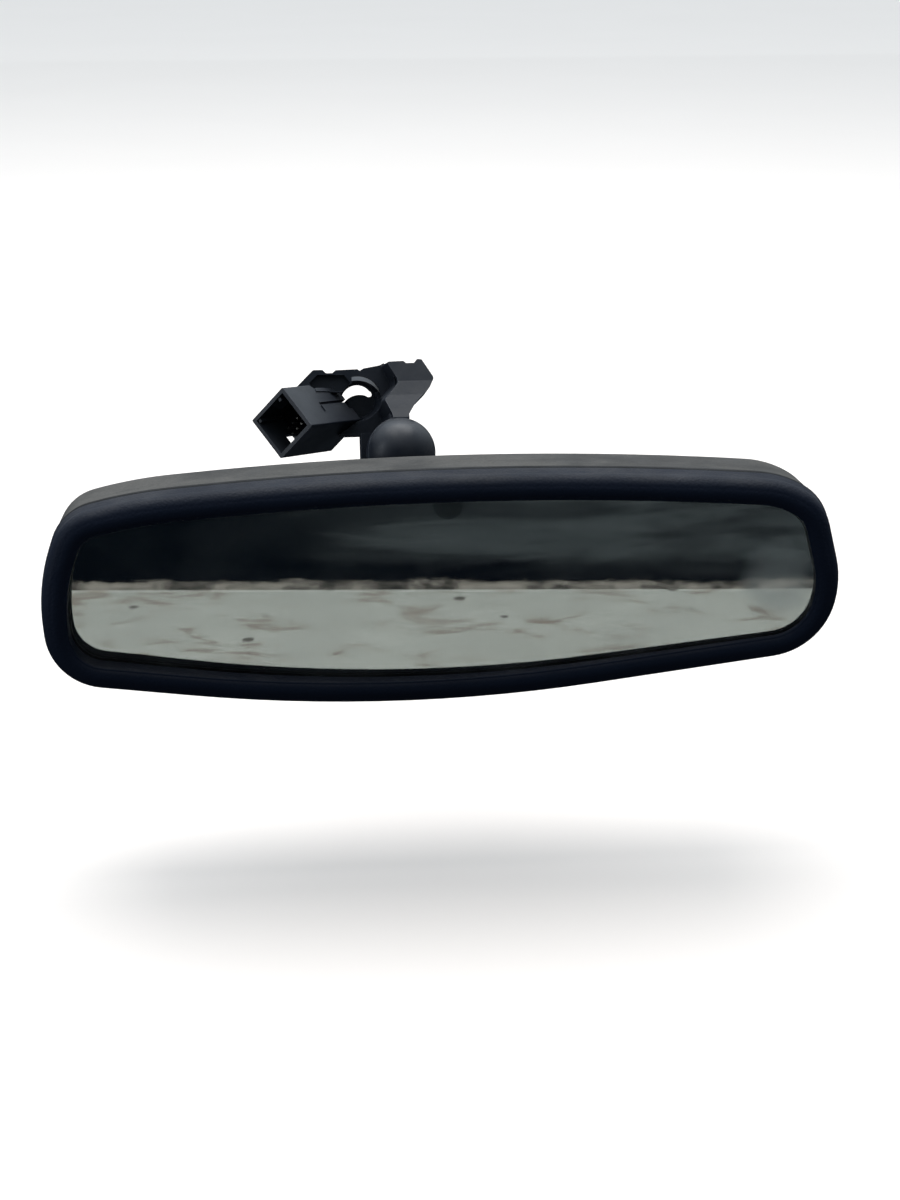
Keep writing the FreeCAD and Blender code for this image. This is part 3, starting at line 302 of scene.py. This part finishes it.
def clear_pane(name):
    """Front pane: clear, with dust specks all over, wiped haze upper right, and a thumb mark."""
    shader = Shader(name)
    specks = shader.spread(shader.cells(2.6), 0.10, 0.02)
    thinned = shader.math("MULTIPLY", specks, shader.spread(shader.noise(9.0, 2.0), 0.5, 0.68))
    streaks = shader.spread(shader.noise((60.0, 40.0, 6.5), 6.0, 0.62, 0.4), 0.40, 0.72)
    right = shader.spread(shader.part_of(shader.place, "X"), *HAZE_ACROSS)
    upper = shader.spread(shader.part_of(shader.place, "Z"), *HAZE_UPRIGHT)
    haze = shader.math("MULTIPLY", shader.math("MULTIPLY", streaks, right), upper)
    haze = shader.math("MAXIMUM", haze, shader.math("MULTIPLY", thumb_mark(shader), THUMB_COVER))
    film = shader.spread(shader.noise((30.0, 30.0, 22.0), 3.0), 0.35, 0.8, 0.0, FILM_COVER)
    cover = shader.math("MULTIPLY", haze, HAZE_COVER)
    cover = shader.math("ADD", cover, shader.math("MULTIPLY", thinned, SPECK_COVER))
    cover = shader.math("ADD", cover, film, clamp=True)
    shader.link(shader.math("SUBTRACT", 1.0, cover), shader.main.inputs["Transmission Weight"])
    tone = shader.blend(cover, CLEAR_TINT, PANE_DUST)
    sheen = shader.spread(cover, 0.0, 0.5, 0.0, 0.25)
    return shader.surface(tone, sheen, IOR=1.5)


def mirror_coat(name):
    """Reflecting coat of the rear pane, dim and faintly warm, slightly uneven."""
    shader = Shader(name)
    tone = shader.blend(shader.noise(40.0, 2.0), (0.300, 0.262, 0.250), (0.340, 0.300, 0.288))
    sheen = shader.spread(shader.noise(14.0, 2.0), 0.3, 0.7, 0.0, 0.02)
    return shader.surface(tone, sheen, metallic=1.0)


def smoked(name):
    """Near-black filter in front of the glare sensor."""
    shader = Shader(name)
    swirl = shader.noise(3.0, 2.0)
    tone = shader.blend(swirl, (0.004, 0.0045, 0.006), (0.008, 0.009, 0.012))
    return shader.surface(tone, shader.spread(swirl, 0.3, 0.7, 0.05, 0.12), specular=0.5)


# Painted shade along the parting line, standing in for the shadow in the gap between the parts: on the
# front edge of the housing and the back edge of the bezel.
housing_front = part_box("rear_housing")[0].y
housing_seam = (housing_front + 2.7 * MM, housing_front + 2.0 * MM)
bezel_seam = (housing_front - 1.5 * MM, housing_front - 1.0 * MM)

MATERIALS = {
    "bezel_plastic": moulded(
        "bezel_plastic",
        (0.0065, 0.0100, 0.0200),
        rough=0.48,
        specular=0.07,
        grain=0.8,
        depth=0.16,
        dust=0.19,
        seam=bezel_seam,
    ),
    "housing_plastic": moulded(
        "housing_plastic",
        (0.009, 0.0095, 0.011),
        rough=0.60,
        specular=0.24,
        grain=0.8,
        depth=0.14,
        dust=0.55,
        seam=housing_seam,
    ),
    "clear_glass": clear_pane("clear_glass"),
    "mirror_coat": mirror_coat("mirror_coat"),
    "smoked_filter": smoked("smoked_filter"),
    "epoxy_seal": plain_moulding("epoxy_seal", (0.014, 0.015, 0.016), 0.45),
    "spring_metal": worked_metal("spring_metal", (0.60, 0.58, 0.53), 0.32),
    "foam_tape": plain_moulding("foam_tape", (0.03, 0.03, 0.033), 0.9, specular=0.2, size=0.5),
    "carrier_plastic": plain_moulding("carrier_plastic", (0.02, 0.02, 0.022), 0.55, size=2.0),
    "board_laminate": laminate("board_laminate"),
    "chip_epoxy": plain_moulding("chip_epoxy", (0.012, 0.012, 0.013), 0.5, size=0.4),
    "can_aluminium": worked_metal("can_aluminium", (0.78, 0.79, 0.80), 0.28, (2.0, 0.3, 2.0)),
    "header_plastic": plain_moulding("header_plastic", (0.60, 0.56, 0.44), 0.45),
    "sensor_epoxy": plain_moulding("sensor_epoxy", (0.34, 0.26, 0.13), 0.18),
    "lens_plastic": plain_moulding("lens_plastic", (0.012, 0.014, 0.018), 0.10, size=2.5),
    "screw_steel": worked_metal("screw_steel", (0.52, 0.52, 0.50), 0.30, (0.6, 0.6, 0.6)),
    "stud_zinc": coated_casting("stud_zinc", (0.018, 0.019, 0.021), 0.42),
    "seat_nylon": plain_moulding("seat_nylon", (0.62, 0.60, 0.54), 0.38),
    "ring_steel": worked_metal("ring_steel", (0.50, 0.50, 0.51), 0.28, (3.0, 3.0, 0.2)),
    "mount_black": coated_casting("mount_black", (0.011, 0.014, 0.021), 0.40),
    "bracket_plastic": moulded(
        "bracket_plastic",
        (0.012, 0.0155, 0.023),
        rough=0.42,
        specular=0.40,
        grain=1.1,
        depth=0.02,
        dust=0.12,
        patch=9.0,
        wear_and_highlight=0.3,
    ),
    "block_plastic": plain_moulding("block_plastic", (0.004, 0.006, 0.011), 0.5, specular=0.3),
    "pin_brass": worked_metal("pin_brass", (0.30, 0.29, 0.26), 0.45, (0.5, 3.0, 0.5)),
}

for subpart in frame["record"]["subparts"]:
    piece = frame["nodes"][subpart["node"]]
    piece.data.materials.clear()
    piece.data.materials.append(MATERIALS[subpart["material_slot"]])

# ---------------------------------------------------------------- camera
VIEW_AZIMUTH = math.radians(-5.0)
VIEW_ELEVATION = math.radians(20.0)
VIEW_DISTANCE = 0.700
VIEW_TARGET = Vector((0.0260, -0.0892, -0.0442))
SENSOR_HEIGHT_MM = 36.0
LENS_MM = 64.47

toward_camera = Vector(
    (
        math.sin(VIEW_AZIMUTH) * math.cos(VIEW_ELEVATION),
        -math.cos(VIEW_AZIMUTH) * math.cos(VIEW_ELEVATION),
        math.sin(VIEW_ELEVATION),
    )
)
camera = bpy.data.objects.new("camera", bpy.data.cameras.new("camera"))
camera.location = VIEW_TARGET + toward_camera * VIEW_DISTANCE
camera.rotation_euler = toward_camera.to_track_quat("Z", "Y").to_euler()
camera.data.sensor_fit = "VERTICAL"
camera.data.sensor_height = SENSOR_HEIGHT_MM
camera.data.lens = LENS_MM
camera.data.clip_start = 0.01
bpy.context.scene.collection.objects.link(camera)
bpy.context.scene.camera = camera

# ---------------------------------------------------------------- floor and reflected panels
cad_low, cad_high = cad_bounds
FLOOR_DROP = 0.060
FLOOR_Z = cad_low.z - FLOOR_DROP
FLOOR_REACH = 30.0

PANEL_LIFT = 0.002  # of the flag and the ground above the floor
PANEL_REACH = 2.0
FLAG_DEPTH = (-2.5, 2.5)
GROUND_DEPTH = (-0.60, -0.09)

CARD_DISTANCE = 0.265
CARD_SLANT = 0.026
CARD_REACH = 0.75
CARD_HEIGHT = 0.45
CARD_STREAK = (0.125, 0.150, 0.160)
CARD_STREAK_ACROSS = (-0.06, 0.02)
CARD_STREAK_ABOVE = (FLOOR_Z + 0.007, FLOOR_Z + 0.014)
LITTER_UP_TO = (FLOOR_Z + 0.0015, FLOOR_Z)
LITTER_RAGGED = 0.011


def flat_panel(name, corners, material):
    """Four-cornered panel that belongs to the stage."""
    mesh = bpy.data.meshes.new(name)
    mesh.from_pydata(corners, [], [(0, 1, 2, 3)])
    mesh.materials.append(material)
    panel = bpy.data.objects.new(name, mesh)
    bpy.context.scene.collection.objects.link(panel)
    return panel


def floor_material():
    """Pale paper, a little warm, which looks neutral under the cool light."""
    shader = Shader("floor_paper")
    tone = shader.blend(shader.noise(160.0, 3.0), (0.93, 0.86, 0.81), (0.95, 0.88, 0.83))
    return shader.surface(tone, 0.85, shader.bump(shader.noise(2.0, 3.0), 0.05, 0.3), specular=0.2)


def card_material():
    """Dark card with pale streaks on its right and a ragged pale strip along its foot."""
    shader = Shader("dark_card")
    unevenness = shader.noise((90.0, 90.0, 60.0), 3.0)
    tone = shader.blend(unevenness, (0.001, 0.004, 0.010), (0.006, 0.012, 0.020))
    streaks = shader.spread(shader.noise((150.0, 90.0, 16.0), 6.0, 0.65, 0.6), 0.46, 0.62, 0.3, 1.0)
    ragged = shader.math("MULTIPLY", shader.noise((24.0, 24.0, 7.0), 5.0, 0.7), LITTER_RAGGED)
    height = shader.math("SUBTRACT", shader.part_of(shader.place, "Z"), ragged)
    right = shader.spread(shader.part_of(shader.place, "X"), *CARD_STREAK_ACROSS)
    upper_right = shader.math("MULTIPLY", right, shader.spread(height, *CARD_STREAK_ABOVE))
    tone = shader.blend(shader.math("MULTIPLY", streaks, upper_right), tone, CARD_STREAK)
    strip = shader.spread(height, *LITTER_UP_TO)
    clumps = shader.spread(shader.noise((16.0, 16.0, 5.0), 5.0, 0.7), 0.35, 0.65)
    litter = shader.blend(clumps, (0.08, 0.075, 0.07), (0.80, 0.75, 0.67))
    tone = shader.blend(strip, tone, litter)
    return shader.surface(tone, 0.9, specular=0.1)


def flag_material():
    """Dark panel that the plastics reflect in place of the pale floor."""
    shader = Shader("floor_flag")
    tone = shader.blend(shader.noise(120.0, 2.0), (0.010, 0.013, 0.018), (0.020, 0.024, 0.030))
    return shader.surface(tone, 0.9, specular=0.1)


def ground_material():
    """Grey-green ground with stains and specks, which the lower half of the glass reflects."""
    shader = Shader("reflected_ground")
    tone = shader.blend(shader.noise((60.0, 25.0, 25.0), 4.0), (0.64, 0.68, 0.64), (0.86, 0.91, 0.87))
    stains = shader.spread(shader.noise((34.0, 18.0, 18.0), 5.0, 0.65, 0.5), 0.50, 0.68)
    tone = shader.blend(stains, tone, (0.46, 0.42, 0.37))
    specks = shader.spread(shader.cells(30.0), 0.11, 0.06)
    tone = shader.blend(shader.math("MULTIPLY", specks, 0.8), tone, (0.08, 0.07, 0.06))
    return shader.surface(tone, 0.9, specular=0.1)


def lying_panel(name, reach, depth, height, material):
    """Level panel that reaches as far to both sides, from the first Y in depth to the second."""
    front, back = depth
    corners = [
        (-reach, front, height),
        (reach, front, height),
        (reach, back, height),
        (-reach, back, height),
    ]
    return flat_panel(name, corners, material)


floor = lying_panel("floor", FLOOR_REACH, (-FLOOR_REACH, FLOOR_REACH), FLOOR_Z, floor_material())

# The pale floor would light every underside as snow does, so it gives no diffuse light, and surfaces
# reflect a dark flag that lies on it.  Only the glass, whose light also passes the clear pane, shows
# the stained ground instead.
panel_height = FLOOR_Z + PANEL_LIFT
floor.visible_diffuse = False
flag = lying_panel("floor_flag", PANEL_REACH, FLAG_DEPTH, panel_height, flag_material())
flag.visible_transmission = False
ground = lying_panel("reflected_ground", PANEL_REACH, GROUND_DEPTH, panel_height, ground_material())
ground.visible_glossy = False

# A low card stands in front of the glass and shows only in reflections, so that the glass has the
# dark upper and pale lower half that it has outdoors.
card_y = glass_low.y - CARD_DISTANCE
card_top = FLOOR_Z + CARD_HEIGHT
card = flat_panel(
    "dark_card",
    [
        (-CARD_REACH, card_y - CARD_SLANT, FLOOR_Z),
        (CARD_REACH, card_y + CARD_SLANT, FLOOR_Z),
        (CARD_REACH, card_y + CARD_SLANT, card_top),
        (-CARD_REACH, card_y - CARD_SLANT, card_top),
    ],
    card_material(),
)
for unseen in (flag, ground, card):
    unseen.visible_camera = False
    unseen.visible_diffuse = False
    unseen.visible_shadow = False

# ---------------------------------------------------------------- light
SOFT_LIGHT = (0.84, 0.93, 1.0)
COOL_STRIP = (0.86, 0.93, 1.0)
BACKDROP = (0.72, 0.745, 0.75)  # the tone of the far floor

# Share of the way up or back that a direction points, from and to, then the light's strength there.
LIGHT_BY_HEIGHT = (0.05, 0.85, 0.30, 1.55)
LIGHT_BY_DEPTH = (-0.3, 0.7, 0.45, 1.25)

OVERHEAD_PLACE = (0.0, 0.35, 1.5)
LEFT_STRIP_PLACE = (-0.95, -0.30, 0.22)

world = bpy.data.worlds.new("studio")
bpy.context.scene.world = world
world.use_nodes = True
sky = world.node_tree
sky.nodes.clear()


def sky_node(kind, **settings):
    made = sky.nodes.new(kind)
    for key, value in settings.items():
        setattr(made, key, value)
    return made


def sky_range(source, low, high, to_low, to_high):
    made = sky_node("ShaderNodeMapRange", interpolation_type="SMOOTHSTEP")
    sky.links.new(source, made.inputs["Value"])
    for name, value in (("From Min", low), ("From Max", high), ("To Min", to_low), ("To Max", to_high)):
        made.inputs[name].default_value = value
    return made.outputs["Result"]


direction = sky_node("ShaderNodeSeparateXYZ")
sky.links.new(sky_node("ShaderNodeTexCoord").outputs["Generated"], direction.inputs["Vector"])
overhead = sky_range(direction.outputs["Z"], *LIGHT_BY_HEIGHT)
behind = sky_range(direction.outputs["Y"], *LIGHT_BY_DEPTH)
strength = sky_node("ShaderNodeMath", operation="MULTIPLY")
sky.links.new(overhead, strength.inputs[0])
sky.links.new(behind, strength.inputs[1])
soft_light = sky_node("ShaderNodeBackground")
soft_light.inputs["Color"].default_value = (*SOFT_LIGHT, 1.0)
sky.links.new(strength.outputs["Value"], soft_light.inputs["Strength"])
backdrop = sky_node("ShaderNodeBackground")
backdrop.inputs["Color"].default_value = (*BACKDROP, 1.0)
chosen = sky_node("ShaderNodeMixShader")
sky.links.new(sky_node("ShaderNodeLightPath").outputs["Is Camera Ray"], chosen.inputs["Fac"])
sky.links.new(soft_light.outputs["Background"], chosen.inputs[1])
sky.links.new(backdrop.outputs["Background"], chosen.inputs[2])
sky.links.new(chosen.outputs["Shader"], sky_node("ShaderNodeOutputWorld").inputs["Surface"])


def softbox(name, location, aim, width, height, power, colour=(1.0, 1.0, 1.0)):
    """Rectangular lamp at location that faces aim; power is in watts."""
    light = bpy.data.lights.new(name, "AREA")
    light.shape = "RECTANGLE"
    light.size = width
    light.size_y = height
    light.energy = power
    light.color = colour
    lamp = bpy.data.objects.new(name, light)
    lamp.location = location
    lamp.rotation_euler = (Vector(location) - Vector(aim)).to_track_quat("Z", "Y").to_euler()
    bpy.context.scene.collection.objects.link(lamp)


middle = (cad_low + cad_high) / 2.0
softbox("overhead", OVERHEAD_PLACE, middle, width=1.6, height=1.2, power=22.0)
softbox("left_strip", LEFT_STRIP_PLACE, middle, width=0.25, height=0.80, power=2.2, colour=COOL_STRIP)

bpy.context.scene.view_settings.view_transform = "Standard"
bpy.context.scene.view_settings.look = "None"
